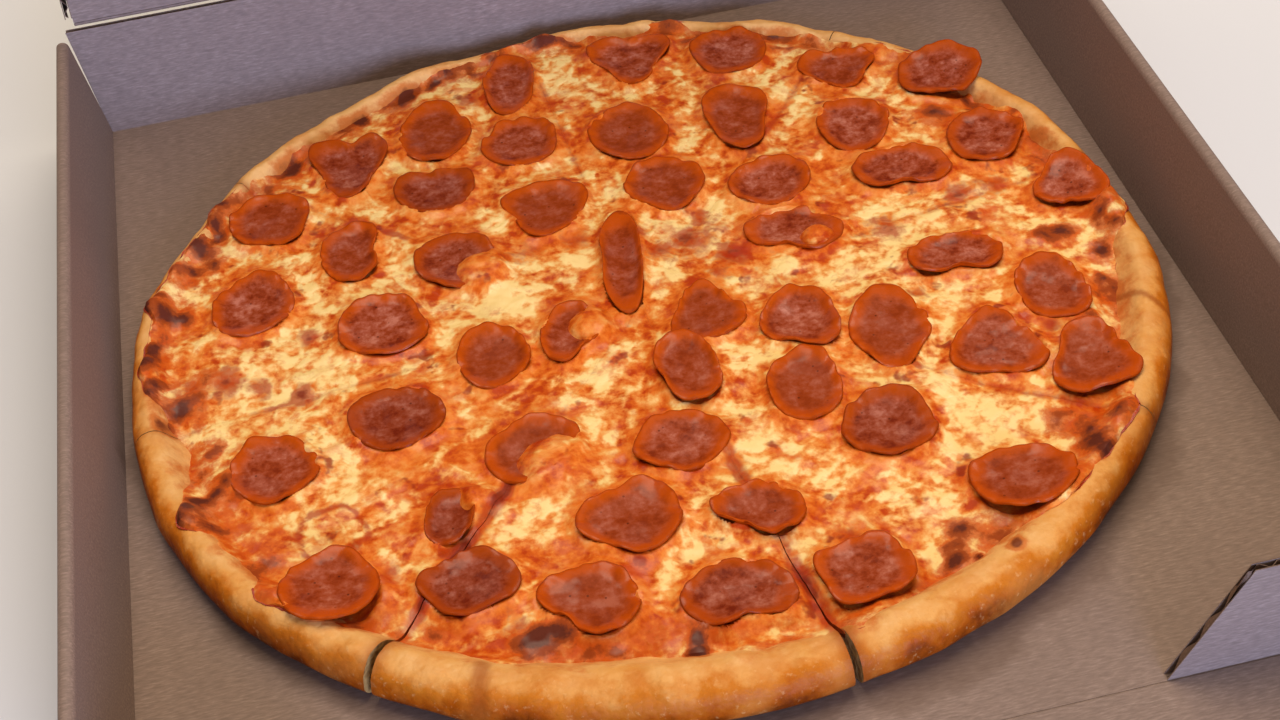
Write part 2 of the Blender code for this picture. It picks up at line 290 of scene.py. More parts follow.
def ramp(value, stops):
    """A colour for each value, mixed between stops of (value, colour)."""
    made = node(value.id_data, "ValToRGB", inputs={0: value})
    band = made.color_ramp
    while len(band.elements) < len(stops):
        band.elements.new(0.5)
    for element, (place, colour) in zip(band.elements, stops):
        element.position = place
        element.color = rgb(*colour)
    return made.outputs[0]


def step(value, low, high):
    """A soft step from 0 at low to 1 at high."""
    made = node(value.id_data, "MapRange", {"interpolation_type": "SMOOTHSTEP"}, {0: value, 1: low, 2: high})
    return made.outputs[0]


def grain(vector, scale, detail=3.0, rough=0.5, stir=0.0):
    """A cloudy pattern between 0 and 1."""
    sockets = {"Vector": vector, "Scale": scale, "Detail": detail, "Roughness": rough, "Distortion": stir}
    return node(vector.id_data, "TexNoise", inputs=sockets).outputs[0]


def attribute(tree, name):
    return node(tree, "Attribute", {"attribute_name": name}).outputs["Fac"]


def finish(name):
    """A new material, its node tree, its shader and its coordinates."""
    mat = bpy.data.materials.new(name)
    mat.use_nodes = True
    tree = mat.node_tree
    return mat, tree, tree.nodes["Principled BSDF"], node(tree, "TexCoord").outputs["Object"]


def relief(shader, height, depth):
    """Small bumps, as deep as the depth in metres."""
    bump = node(shader.id_data, "Bump", inputs={"Strength": 1.0, "Distance": depth, "Height": height})
    feed(shader, {"Normal": bump.outputs[0]})


print("helpers ready")

# %% [markdown]
# ## A shared effect: melted strands
# Grated cheese melts into long soft strands that bend and cross. A noise
# that is squeezed one way gives straight strands, and a slow second noise
# that pushes the places about first makes them bend. Two or three layers
# at different turns then cross each other.

# %% The node group for strands


def make_strands():
    tree = bpy.data.node_groups.new("melted_strands", "ShaderNodeTree")
    for name, kind in (("Place", "Vector"), ("Squeeze", "Vector"), ("Turn", "Float")):
        tree.interface.new_socket(name, in_out="INPUT", socket_type="NodeSocket" + kind)
    tree.interface.new_socket("Strand", in_out="OUTPUT", socket_type="NodeSocketFloat")
    entry = tree.nodes.new("NodeGroupInput")
    leave = tree.nodes.new("NodeGroupOutput")
    moved = node(tree, "VectorMath", {"operation": "ADD"},
                 {0: entry.outputs["Place"], 1: entry.outputs["Turn"]})
    stir = node(tree, "TexNoise", inputs={"Vector": moved.outputs[0], "Scale": 26.0, "Detail": 1.5})
    push = node(tree, "VectorMath", {"operation": "SUBTRACT"}, {0: stir.outputs["Color"], 1: (0.5, 0.5, 0.5)})
    bent = node(tree, "VectorMath", {"operation": "MULTIPLY_ADD"},
                {0: push.outputs[0], 1: (0.055, 0.055, 0.0), 2: moved.outputs[0]})
    turned = node(tree, "VectorRotate", {"rotation_type": "Z_AXIS"},
                  {"Vector": bent.outputs[0], "Angle": entry.outputs["Turn"]})
    thin = node(tree, "VectorMath", {"operation": "MULTIPLY"},
                {0: turned.outputs[0], 1: entry.outputs["Squeeze"]})
    lines = grain(thin.outputs[0], 1.0, 1.5)
    feed(leave, {"Strand": step(lines, 0.38, 0.74)})
    return tree


STRANDS = make_strands()


def strands(place, squeeze, turn):
    """The group in a material, with its own squeeze and turn."""
    sockets = {"Place": place, "Squeeze": squeeze, "Turn": turn}
    return node(place.id_data, "Group", {"node_tree": STRANDS}, sockets).outputs["Strand"]


print("group:", STRANDS.name, len(STRANDS.nodes), "nodes")

# %% [markdown]
# ## Baked crust
# The crust is golden on its crest, browner where it blistered, and finely pitted. Low on its outer side and
# at its foot it is darker and browner: partly baked browning, partly painted shade. The meshes carry masks as
# attributes, such as how far out on the rim a point lies and how far it is toasted.

# %% Crust, crumb and sauce


def make_crust():
    mat, tree, shader, place = finish("golden_crust")
    coarse = grain(place, 38.0, 4.0, 0.6)
    fine = grain(place, 420.0, 4.0, 0.6)
    mottle = calc("SUBTRACT", grain(place, 62.0, 5.0, 0.62), 0.5)
    outer = calc("MULTIPLY_ADD", mottle, 0.95, attribute(tree, "outer"))
    # Pale up the rim, darker and browner low on its outer side and at its foot: partly baked browning, partly
    # painted shade.
    base = ramp(outer, [(0.14, (230, 174, 104)), (0.37, (222, 154, 76)), (0.55, (198, 110, 24)),
                        (0.80, (166, 74, 3)), (0.98, (108, 42, 2))])
    patch = step(coarse, 0.47, 0.66)
    base = stain(base, patch, 0.50, (204, 122, 48))
    pale = step(fine, 0.58, 0.72)
    base = stain(base, pale, 0.26, (236, 186, 118))
    speckle = calc("SUBTRACT", grain(place, 150.0, 4.0, 0.65), 0.5)
    burn = calc("MULTIPLY_ADD", speckle, 0.9, attribute(tree, "toast"))
    base = stain(base, step(burn, 0.12, 0.50), 0.8, (196, 96, 28))
    base = stain(base, step(burn, 0.55, 1.0), 0.9, (112, 50, 24))
    base = stain(base, attribute(tree, "red"), 0.75, (152, 72, 18))
    feed(shader, {"Base Color": base, "Roughness": 0.48, "Specular IOR Level": 0.10})
    blisters = node(tree, "TexVoronoi", inputs={"Vector": place, "Scale": 330.0})
    height = calc("MULTIPLY_ADD", fine, 0.5, calc("MULTIPLY", blisters.outputs["Distance"], -0.5))
    relief(shader, height, 0.0006)
    return mat


def make_crumb():
    mat, tree, shader, place = finish("pale_crumb")
    pores = node(tree, "TexVoronoi", inputs={"Vector": place, "Scale": 420.0}).outputs["Distance"]
    # Darker in the pits of the pores: painted shade in the holes.
    base = ramp(pores, [(0.0, (116, 74, 28)), (0.35, (156, 112, 54)), (1.0, (184, 142, 80))])
    feed(shader, {"Base Color": base, "Roughness": 0.8})
    relief(shader, pores, 0.0006)
    return mat


def make_sauce():
    mat, tree, shader, place = finish("tomato_sauce")
    lumps = grain(place, 260.0, 5.0, 0.65)
    base = ramp(lumps, [(0.30, (120, 24, 4)), (0.52, (168, 48, 10)), (0.72, (206, 92, 26))])
    feed(shader, {"Base Color": base, "Roughness": 0.30})
    relief(shader, lumps, 0.0009)
    return mat


CRUST, CRUMB, SAUCE = make_crust(), make_crumb(), make_sauce()
print("materials:", CRUST.name, CRUMB.name, SAUCE.name)

# %% [markdown]
# ## Melted cheese
# Cream ridges lie over an orange ground of oil and sauce. Towards the crust
# and on the blisters the cheese is toasted, first orange and then brown. The
# oil lies on it in patches, as a thin glossy coat.

# %% Cheese


def make_cheese():
    mat, tree, shader, place = finish("melted_cheese")
    wide = grain(place, 17.0, 2.0, 0.5, 0.4)
    patches = grain(place, 62.0, 4.0, 0.6, 0.6)
    mottle = grain(place, 230.0, 3.0, 0.55)
    grit = calc("SUBTRACT", mottle, 0.5)
    long_strand = strands(place, (52.0, 150.0, 0.0), 0.3)
    cross_strand = strands(place, (60.0, 140.0, 0.0), 2.1)
    short_strand = strands(place, (88.0, 205.0, 0.0), 4.0)
    crossed = calc("MULTIPLY", calc("ADD", long_strand, cross_strand), 0.60)
    strand = calc("MAXIMUM", crossed, calc("MULTIPLY", short_strand, 0.75))
    blobs = step(grain(place, 120.0, 2.5, 0.5, 0.2), 0.42, 0.70)
    grated = step(grain(place, 30.0, 2.0), 0.44, 0.56)
    strand = calc("MULTIPLY", strand, calc("MULTIPLY_ADD", grated, 0.65, 0.35))
    strand = calc("MAXIMUM", strand, calc("MULTIPLY", blobs, 0.85))

    ground = ramp(calc("MULTIPLY_ADD", grit, 0.7, patches),
                  [(0.30, (184, 60, 6)), (0.42, (212, 96, 20)),
                   (0.53, (228, 122, 40)), (0.68, (234, 146, 66))])
    cover = calc("MULTIPLY_ADD", strand, 0.50, calc("MULTIPLY", wide, 0.75))
    cover = calc("MULTIPLY_ADD", patches, 0.95, cover)
    cover = calc("MULTIPLY_ADD", grit, 0.95, cover)
    cover = calc("SUBTRACT", cover, calc("MULTIPLY", attribute(tree, "oil_and_shade"), 0.30))
    cream = ramp(calc("MULTIPLY", cover, 0.7),
                 [(0.52, (228, 136, 52)), (0.70, (238, 168, 86)), (0.86, (250, 214, 138))])
    base = blend(step(cover, 0.70, 1.20), ground, cream)
    blush = step(grain(place, 85.0, 4.0, 0.6, 0.3), 0.54, 0.70)
    base = stain(base, blush, 0.55, (210, 88, 32))
    redder = step(calc("MULTIPLY_ADD", grit, 1.1, attribute(tree, "red")), 0.34, 0.80)
    base = stain(base, redder, 0.80, (172, 46, 8))
    deeper = step(calc("MULTIPLY_ADD", grit, 0.8, attribute(tree, "red")), 0.85, 1.20)
    base = stain(base, deeper, 0.80, (118, 24, 6))
    fleck = step(grain(place, 88.0, 3.0, 0.55), 0.63, 0.72)
    base = stain(base, fleck, 0.80, (142, 36, 14))

    speckle = calc("SUBTRACT", grain(place, 130.0, 4.0, 0.65), 0.5)
    burn = calc("MULTIPLY_ADD", speckle, 1.5, attribute(tree, "toast"))
    base = stain(base, step(burn, 0.12, 0.50), 0.85, (202, 84, 18))
    base = stain(base, step(burn, 0.48, 0.78), 0.9, (148, 62, 20))
    base = stain(base, step(burn, 0.80, 1.15), 0.9, (88, 38, 26))
    shine = node(tree, "MapRange", inputs={0: mottle, 1: 0.3, 2: 0.7, 3: 0.30, 4: 0.48})
    dull = calc("MULTIPLY_ADD", step(burn, 0.4, 0.9), 0.35, shine.outputs[0])
    wet = step(grain(place, 80.0, 2.0), 0.50, 0.62)
    feed(shader, {"Base Color": base, "Roughness": dull, "Specular IOR Level": 0.09,
                  "Coat Weight": calc("MULTIPLY", wet, 0.55), "Coat Roughness": 0.28})
    height = calc("MULTIPLY_ADD", strand, 1.0, calc("MULTIPLY", mottle, 0.4))
    relief(shader, height, 0.00050)
    return mat


CHEESE = make_cheese()
print("material:", CHEESE.name)

# %% [markdown]
# ## Pepperoni
# Thin sausage slices that cupped in the oven: pinkish brown and speckled
# with fat in the middle, darker and glossy orange at the rim.

# %% Pepperoni finish


def make_pepperoni_finish():
    mat, tree, shader, place = finish("cooked_pepperoni")
    rim = attribute(tree, "rim")
    tone = attribute(tree, "tone")
    cloud = grain(place, 130.0, 4.0, 0.6)
    fine = grain(place, 420.0, 3.0, 0.6)
    mottled = calc("MULTIPLY_ADD", calc("SUBTRACT", fine, 0.5), 0.55, cloud)
    base = ramp(mottled, [(0.32, (118, 36, 12)), (0.45, (148, 60, 28)),
                          (0.56, (164, 80, 54)), (0.72, (192, 116, 92))])
    base = stain(base, step(tone, 0.3, 1.0), 0.6, (150, 58, 12))
    pits = node(tree, "TexVoronoi", inputs={"Vector": place, "Scale": 210.0}).outputs["Distance"]
    base = stain(base, step(pits, 0.13, 0.05), 0.7, (64, 22, 8))
    edge = calc("MULTIPLY_ADD", calc("SUBTRACT", cloud, 0.5), 0.45, rim)
    base = stain(base, step(edge, 0.60, 0.90), 0.94, (188, 74, 2))
    outer = calc("MULTIPLY_ADD", calc("SUBTRACT", fine, 0.5), 0.12, rim)
    base = stain(base, step(outer, 0.93, 1.00), 0.60, (128, 42, 3))
    base = stain(base, step(tone, 0.35, 0.0), 0.35, (96, 24, 4))
    wet = step(grain(place, 95.0, 2.0), 0.53, 0.64)
    feed(shader, {"Base Color": base, "Roughness": 0.27, "Specular IOR Level": 0.05,
                  "Coat Weight": calc("MULTIPLY", wet, 0.50), "Coat Roughness": 0.24})
    height = calc("MULTIPLY_ADD", cloud, 0.9, calc("MULTIPLY", fine, 0.45))
    relief(shader, height, 0.00030)
    return mat


PEPPERONI = make_pepperoni_finish()
print("material:", PEPPERONI.name)

# %% [markdown]
# ### The slices
# Each starts from its solid, so that it lies and curls the same way, and is
# then rounded by subdivision and roughened. Its outline is measured again
# at the end, because the cheese has to meet it.

# %% Round the pepperoni
SECTORS = 60
LIP_RISE = 0.0013
SUNK = 0.0006


def drift(x, y, scale, layer):
    """A smooth random value between about -0.5 and 0.5."""
    return noise.noise(Vector((x * scale, y * scale, layer)))


def ripple(x, y, scale, layer, share, finer=2.1):
    """Three octaves of it, each finer by a factor and weaker."""
    return noise.fractal(Vector((x * scale, y * scale, layer)), share, finer, 3)


def dress_pepperoni(name, number):
    """A rounded, uneven copy of one pepperoni solid."""
    mesh = NODES[name].data.copy()
    piece = bpy.data.objects.new(name + "_cooked", mesh)
    bpy.context.scene.collection.objects.link(piece)
    pick(piece)
    edit_all()
    bpy.ops.mesh.remove_doubles(threshold=0.00002)
    bpy.ops.mesh.tris_convert_to_quads(face_threshold=math.radians(60), shape_threshold=math.radians(80))
    leave_edit()
    smooth = piece.modifiers.new("round", "SUBSURF")
    smooth.levels = smooth.render_levels = 3
    bpy.ops.object.modifier_apply(modifier="round")

    low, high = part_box(name)
    middle = (Vector(low) + Vector(high)) / 2
    spread = [0.0] * SECTORS
    for vert in mesh.vertices:
        flat = vert.co - middle
        sector = round(math.degrees(math.atan2(flat.y, flat.x)) / 6) % SECTORS
        spread[sector] = max(spread[sector], math.hypot(flat.x, flat.y))
    mean = sum(spread) / len(spread)
    rim = []
    for vert in mesh.vertices:
        flat = vert.co - middle
        angle = math.degrees(math.atan2(flat.y, flat.x)) / 6
        below, share = math.floor(angle), angle - math.floor(angle)
        reach = spread[below % SECTORS] * (1 - share) + spread[(below + 1) % SECTORS] * share
        part = min(1.0, math.hypot(flat.x, flat.y) / reach)
        rim.append(part)
        turn = math.radians(6 * angle)
        ragged = drift(math.cos(turn), math.sin(turn), 3, number * 2.3)
        grow = 1.01 + part * part * (0.40 * (reach / mean - 1) + 0.026 * ragged)
        rough = ripple(vert.co.x, vert.co.y, 75, number * 3.1, 0.8)
        lip = max(0.0, (part - 0.66) / 0.34)
        lift = LIP_RISE * lip * lip * (3 - 2 * lip) * (0.9 + 1.4 * ragged) + 0.0005 * rough - SUNK
        vert.co = middle + Vector((flat.x * grow, flat.y * grow, flat.z + lift))
    mesh.attributes.new("rim", "FLOAT", "POINT").data.foreach_set("value", rim)
    tone = random.Random(number * 17).random()
    mesh.attributes.new("tone", "FLOAT", "POINT").data.foreach_set("value", [tone] * len(mesh.vertices))
    mesh.materials.clear()
    mesh.materials.append(PEPPERONI)
    for face in mesh.polygons:
        face.material_index = 0
        face.use_smooth = True
    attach(piece, "box")
    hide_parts(name)
    return piece


def outline_of(mesh):
    """Middle of a piece and its reach in 60 directions, in the pizza's own space."""
    flat = np.empty(len(mesh.vertices) * 3)
    mesh.vertices.foreach_get("co", flat)
    back = np.array(PIZZA.inverted())
    places = flat.reshape(-1, 3) @ back[:3, :3].T + back[:3, 3]
    middle = (places.min(axis=0) + places.max(axis=0)) / 2
    off = places - middle
    sector = np.round(np.degrees(np.arctan2(off[:, 1], off[:, 0])) / 6).astype(int) % SECTORS
    reach = np.zeros(SECTORS)
    np.maximum.at(reach, sector, np.hypot(off[:, 0], off[:, 1]))
    return middle[0], middle[1], np.append(reach, reach[0])


pepperoni = [dress_pepperoni("pepperoni_%02d" % k, k) for k in range(1, 51)]
OUTLINES = [outline_of(piece.data) for piece in pepperoni]
print("pepperoni:", len(pepperoni), "of", len(pepperoni[0].data.polygons), "faces each")

# %% [markdown]
# ## Masks on the pizza
# Some marks sit where the oven put them: dark blisters, toasted patches
# and red places along the cuts. They are listed by place and size, and
# worked out for each point of the meshes. The cheese also needs to know
# where the pepperoni lie, to rise beside them and sink under them.

# %% Blisters and toasted places, in millimetres
BLISTERS = (
    (-20, 194, 10, 1.0), (-48, 187, 7, 0.8), (-73, 173, 9, 0.8), (-97, 168, 8, 0.8), (-84, 178, 6, 0.6),
    (27, 187, 8, 0.8), (77, 173, 10, 1.0), (60, 184, 6, 0.7), (132, 98, 8, 0.8), (170, 75, 5, 0.9),
    (165, 14, 6, 0.9), (159, 12, 5, 0.9), (176, 0, 5, 1.0), (179, 18, 5, 0.8), (186, 9, 4, 0.8),
    (189, 31, 3, 1.0), (192, 28, 3, 1.0), (194, 25, 3, 0.9), (174, -16, 4, 0.9), (162, -38, 5, 0.8),
    (197, 0, 9, 0.45), (-192, 28, 5, 1.1), (-184, 25, 6, 1.1), (-178, 25, 5, 1.0), (-168, 58, 6, 0.8),
    (-175, 67, 6, 1.0), (-168, 80, 4, 1.0), (-176, 92, 6, 0.9), (-140, 128, 7, 0.7), (-190, -6, 5, 1.1),
    (-185, -27, 5, 1.0), (-173, -26, 7, 1.1), (-179, -36, 5, 1.2), (-166, -12, 5, 0.6),
    (-169, -91, 4, 1.2), (-166, -86, 4, 1.1), (-162, -79, 5, 1.1), (-158, -73, 5, 1.0),
    (-153, -68, 5, 0.9), (-147, -74, 4, 0.9), (-154, -84, 13, 0.40), (-147, -121, 4, 1.0),
    (-145, -127, 4, 1.1), (-144, -134, 3, 1.1), (-156, -114, 3, 0.9), (-153, -107, 4, 0.8),
    (-121, -151, 2, 0.9), (-48, -157, 6, 1.2), (-41, -156, 6, 1.1), (-50, -163, 4, 0.8),
    (-38, -166, 12, 0.35), (5, -170, 4, 1.3), (5, -165, 4, 1.3), (10, -161, 5, 0.8), (147, -95, 7, 0.9),
    (148, -103, 7, 1.0), (149, -110, 5, 1.1), (159, -94, 5, 0.8), (139, -87, 5, 0.8), (98, -133, 6, 1.0),
    (94, -140, 5, 0.7), (94, -146, 4, 1.1), (100, -147, 3, 1.1), (112, -147, 4, 1.5))


def clamp(value):
    """The value, kept between 0 and 1."""
    return max(0.0, min(1.0, value))


def blister_at(x, y):
    """How near a point is to the middle of a blister, with a ragged outline."""
    x += 0.0035 * drift(x, y, 110, 2.5)
    y += 0.0035 * drift(x, y, 110, 12.5)
    most = 0.0
    for bx, by, size, strength in BLISTERS:
        away = math.hypot(x - bx / 1000, y - by / 1000) / (size / 1000)
        if away < 1.6:
            most = max(most, strength * 1.35 * (1.0 - away / 1.6))
    return most


def toast_at(x, y, angle, r, edge):
    """How far the oven browned a place, from 0 to about 1."""
    side = 0.5 + 0.5 * math.cos(angle - math.radians(120))
    band = math.exp(-((r - edge + 0.003) / 0.0095) ** 2) * (0.40 + 0.22 * side)
    band *= 0.80 + 1.2 * drift(x, y, 60, 4.0)
    freckle = clamp((drift(x, y, 105, 33.0) - 0.14) / 0.22)
    near = math.exp(-((r - edge + 0.006) / 0.0085) ** 2) * (0.35 + 0.65 * side)
    return max(blister_at(x, y), band + 0.75 * near * freckle)


print("blisters:", len(BLISTERS))

# %% Sauce that shows, in millimetres
RED_PLACES = (
    (-129, -27, 6, 1.1), (-128, 5, 5, 1.1), (-158, -16, 9, 1.0), (-171, -15, 8, 0.9), (-146, -20, 7, 0.8),
    (22, 36, 9, 1.0), (37, 25, 8, 1.0), (10, 31, 7, 0.9), (28, 49, 7, 0.9), (30, 14, 8, 0.7),
    (2, 42, 6, 0.7), (144, 48, 8, 0.8), (131, 45, 7, 0.9), (115, 54, 7, 0.8), (99, 29, 9, 0.9),
    (-128, -67, 6, 0.7), (-62, 148, 6, 0.8), (-22, 44, 9, 0.6), (-44, 40, 8, 0.7), (-142, 84, 7, 0.8),
    (-120, 96, 6, 0.7), (60, -128, 6, 0.7), (-52, -151, 8, 0.8), (-94, -120, 6, 0.7), (104, -12, 6, 0.7),
    (148, -40, 6, 0.7))
RING_AT, RING_RADIUS = (-0.116, -0.099), 0.012
SLITS = (((-0.064, -0.170), (-0.067, -0.190), 0.0030), ((0.176, -0.026), (0.191, -0.043), 0.0014))


def off_cut(angle, cut):
    """The angle between a direction and a cut."""
    return abs((angle - math.radians(cut) + math.pi) % math.tau - math.pi)


def red_at(x, y, angle, r):
    """Where sauce shows through, along the cuts and near the middle."""
    most = 0.0
    rough = drift(x, y, 45, 6.0)
    for cut in CUTS:
        off = off_cut(angle, cut) * r
        strength, wide = (1.35, 0.0036) if cut in OPEN_CUTS else (0.70, 0.0026)
        strength *= max(0.25, min(1.0, (r - 0.02) / 0.09))
        most = max(most, strength * (0.8 + 0.8 * rough) * math.exp(-(off / wide) ** 2))
    warp = 0.004 * drift(x, y, 130, 41.0)
    for bx, by, size, strength in RED_PLACES:
        away = (math.hypot(x - bx / 1000, y - by / 1000) + warp) / (size / 1000)
        if away < 1.5:
            most = max(most, strength * (1.15 - 0.75 * away))
    for (ax, ay), (bx, by), wide in SLITS:
        dx, dy = bx - ax, by - ay
        t = clamp(((x - ax) * dx + (y - ay) * dy) / (dx ** 2 + dy ** 2))
        away = math.hypot(x - ax - t * dx, y - ay - t * dy)
        most = max(most, 0.9 * math.exp(-(away / wide) ** 4))
    ring = math.hypot(x - RING_AT[0], y - RING_AT[1]) - RING_RADIUS + warp
    most = max(most, 0.8 * math.exp(-(ring / 0.0024) ** 2))
    middle = math.exp(-(math.hypot(x - 0.026, y - 0.030) / 0.030) ** 2)
    return max(most, middle * (0.45 + 0.6 * rough))


print("red places:", len(RED_PLACES))

# %% Cheese round and over the pepperoni, in millimetres
TONGUES = ((-60, 31, 11), (-37, -79, 14), (-19, -9, 9), (72, 27, 7), (-64, -92, 7))


def over_pepperoni(xs, ys):
    """1 where cheese lies over a pepperoni."""
    over = np.zeros(len(xs))
    for x, y, reach in TONGUES:
        over = np.maximum(over, np.exp(-(np.hypot(xs - x / 1000, ys - y / 1000) / (reach / 1000)) ** 4))
    return over


def outside_by(xs, ys, outline):
    """How far points lie outside an outline, less than 0 inside it."""
    x, y, reach = outline
    sector = np.degrees(np.arctan2(ys - y, xs - x)) / 6 % SECTORS
    return np.hypot(xs - x, ys - y) - np.interp(sector, np.arange(SECTORS + 1), reach)


def under_pepperoni(xs, ys):
    """1 well under a pepperoni, 0 from 1 mm inside its edge outward."""
    under = np.zeros(len(xs))
    for outline in OUTLINES:
        under = np.maximum(under, np.clip((-outside_by(xs, ys, outline) - 0.0010) / 0.0022, 0, 1))
    return under


def beside_pepperoni(xs, ys, reach):
    """1 at the edge of the nearest pepperoni and under it, 0 far away."""
    near = np.zeros(len(xs))
    for outline in OUTLINES:
        near = np.maximum(near, np.exp(-(np.maximum(outside_by(xs, ys, outline), 0.0) / reach) ** 2))
    return near


print("places where cheese ran over:", len(TONGUES))

# %% [markdown]
# ## A wedge of pizza
# A slice is dough with a raised rim, a thin coat of sauce, and cheese that
# laps up onto the rim. Each layer starts as a ring of points set to the
# layer's cross-section, which is spun from one cut to the next. Its points
# are then moved to the uneven outline and relief of the real thing.

# %% Spin a cross-section round the middle
CUT_GAP, CHEESE_GAP = 0.0002, 0.00003
BESIDE_RISE, UNDER_SINK, TONGUE_RISE = 0.0015, 0.0030, 0.0030


def spin_layer(name, ring, low, high, steps):
    """Spin a closed cross-section (along, level) from angle low to high."""
    deselect()
    bpy.ops.mesh.primitive_circle_add(vertices=len(ring), radius=0.01, fill_type="NOTHING")
    obj = bpy.context.object
    obj.name = name
    for vert, (along, level) in zip(obj.data.vertices, ring):
        vert.co = (along * math.cos(low), along * math.sin(low), level)
    edit_all()
    bpy.ops.mesh.spin(steps=steps, angle=high - low, center=(0, 0, 0), axis=(0, 0, -1))
    bpy.ops.mesh.edge_face_add()
    bpy.ops.mesh.select_all(action="DESELECT")
    leave_edit()
    for vert in obj.data.vertices[:len(ring)]:
        vert.select = True
    bpy.ops.object.mode_set(mode="EDIT")
    bpy.ops.mesh.edge_face_add()
    leave_edit()
    return obj


print("cuts:", CUTS)

# %% Shape and finish a layer


def cut_shift(cut, r, gap):
    """Half the width of a cut at radius r."""
    if cut not in OPEN_CUTS:
        return gap
    return gap + 0.0002 * clamp((r - 0.10) / 0.05) + 0.0010 * clamp((r - 0.165) / 0.025)


def outer_at(angle, r, z):
    """0 on the inner slope of the rim, over 0.8 low on its outer side."""
    radius, bare, crest = crust(angle)
    across = (r - radius + bare) / bare
    low = 1 - z / crest
    return clamp(0.62 * across + 0.55 * max(0.0, low) * (across > 0.5))


def fullness(r, edge):
    """1 where the cheese lies at full thickness, falling to 0 at its edge."""
    near = max(0.0, (r - edge + 0.015) / 0.015)
    return (1 - near ** 1.7) ** 0.75 if near < 1 else 0.0


def shape_layer(obj, low, high, first, second, place_point, gap):
    """Move the spun points to their real places and store the masks."""
    masks = {"outer": [], "toast": [], "red": []}
    room = []
    for vert in obj.data.vertices:
        along, level = math.hypot(vert.co.x, vert.co.y), vert.co.z
        angle = math.atan2(vert.co.y, vert.co.x) % math.tau
        t = ((angle - low + 0.01) % math.tau - 0.01) / (high - low)
        r, z, edge = place_point(along, level, low + t * (high - low))
        r = max(r, 0.0011)
        start = low + math.asin(min(1, cut_shift(first, r, gap) / r))
        end = high - math.asin(min(1, cut_shift(second, r, gap) / r))
        turned = start + t * (end - start)
        x, y = r * math.cos(turned), r * math.sin(turned)
        vert.co = (x, y, z)
        masks["outer"].append(outer_at(turned, r, z))
        masks["toast"].append(toast_at(x, y, turned, r, edge))
        masks["red"].append(red_at(x, y, turned, r))
        room.append(0.0007 + 0.0030 * fullness(r, edge))
    flat = np.empty(len(obj.data.vertices) * 3)
    obj.data.vertices.foreach_get("co", flat)
    xs, ys = flat[0::3], flat[1::3]
    masks["oil_and_shade"] = beside_pepperoni(xs, ys, 0.0050)
    if place_point is dough_point:
        inner = np.clip((RADIUS - 0.006 - np.hypot(xs, ys)) / 0.006, 0, 1)
        masks["toast"] = np.array(masks["toast"]) * inner * 0.7
    if place_point is cheese_point:
        over = over_pepperoni(xs, ys)
        sunk = np.minimum(UNDER_SINK, room) * under_pepperoni(xs, ys) * (1 - over)
        beside = BESIDE_RISE * beside_pepperoni(xs, ys, 0.0024) - sunk + TONGUE_RISE * over
        flat[2::3] += beside * (flat[2::3] > TOPPING - 0.001)
        obj.data.vertices.foreach_set("co", flat)
    for key, values in masks.items():
        obj.data.attributes.new(key, "FLOAT", "POINT").data.foreach_set("value", values)
    pick(obj)
    edit_all()
    bpy.ops.mesh.normals_make_consistent(inside=False)
    leave_edit()
    obj.data.transform(PIZZA)
    obj.data.update()


def add_layer(kind, number, ring, steps, place_point, gap, finishes):
    """One layer of a slice: spun, shaped, finished and riding in the tray."""
    first, second = CUTS[number - 1], CUTS[number % len(CUTS)]
    low = math.radians(first)
    high = math.radians(second if second > first else second + 360)
    obj = spin_layer("%s_%d" % (kind, number), ring, low, high, steps)
    shape_layer(obj, low, high, first, second, place_point, gap)
    for mat in finishes:
        obj.data.materials.append(mat)
    pick(obj)
    bpy.ops.object.shade_smooth_by_angle(angle=math.radians(40))
    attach(obj, "box")
    return obj


print("wedge tools ready")

# %% [markdown]
# ### The dough
# Flat under the topping, rising to a round rim and tucked under at its
# foot. Small bubbles and dents come from noise, larger swells from the
# same waves as the solids.

# %% Dough layer
TUCK = 0.0075
CREST_AT = 0.58
RIM_START = 0.006


def dough_height(r, angle, radius, bare, crest):
    """Height of the dough's upper side at radius r."""
    start = radius - bare - RIM_START
    x, y = r * math.cos(angle), r * math.sin(angle)
    flat = TOPPING - 0.0027 + 0.0007 * CHEESE_LUMPS(x, y)
    if r <= start:
        return flat
    f = (r - start) / (radius - start)
    if f < CREST_AT:
        w = f / CREST_AT
        rim = flat + (crest - flat) * (w * w * (3 - 2 * w))
    else:
        rim = crest * (0.40 + 0.60 * math.sqrt(max(0.0, 1 - ((f - CREST_AT) / (1 - CREST_AT)) ** 2.6)))
    swell = drift(x, y, 32, 5.0)
    bubble = max(0.0, drift(x, y, 85, 21.0) - 0.12)
    fine = ripple(x, y, 90, 1.0, 0.7, 2.2)
    return rim + min(1.0, f * 2.5) * (0.0015 * swell + 0.0019 * bubble + 0.00060 * fine)


def dough_point(along, level, angle):
    """Where a point of the dough's ring lies: top, tucked side or underside."""
    radius, bare, crest = crust(angle)
    edge = cheese_edge(angle, radius)
    c, s = math.cos(angle), math.sin(angle)
    radius -= 0.0016 * (0.6 + drift(c, s, 4.2, 3.0)) + 0.0008 * (0.5 + drift(c, s, 11, 3.5))
    start = radius - bare - RIM_START
    out, h = along / 0.1, level / 0.01
    if h > 0.999:
        r = start * out if out <= 1 else start + (radius - start) * (out - 1)
        return r, dough_height(r, angle, radius, bare, crest), edge
    if h < 0.001:
        return (radius - TUCK) * out / 1.6, 0.0, edge
    bend = (1 - h) * math.pi / 2
    return radius - TUCK * (1 - math.cos(bend)), 0.40 * crest * (1 - math.sin(bend)), edge


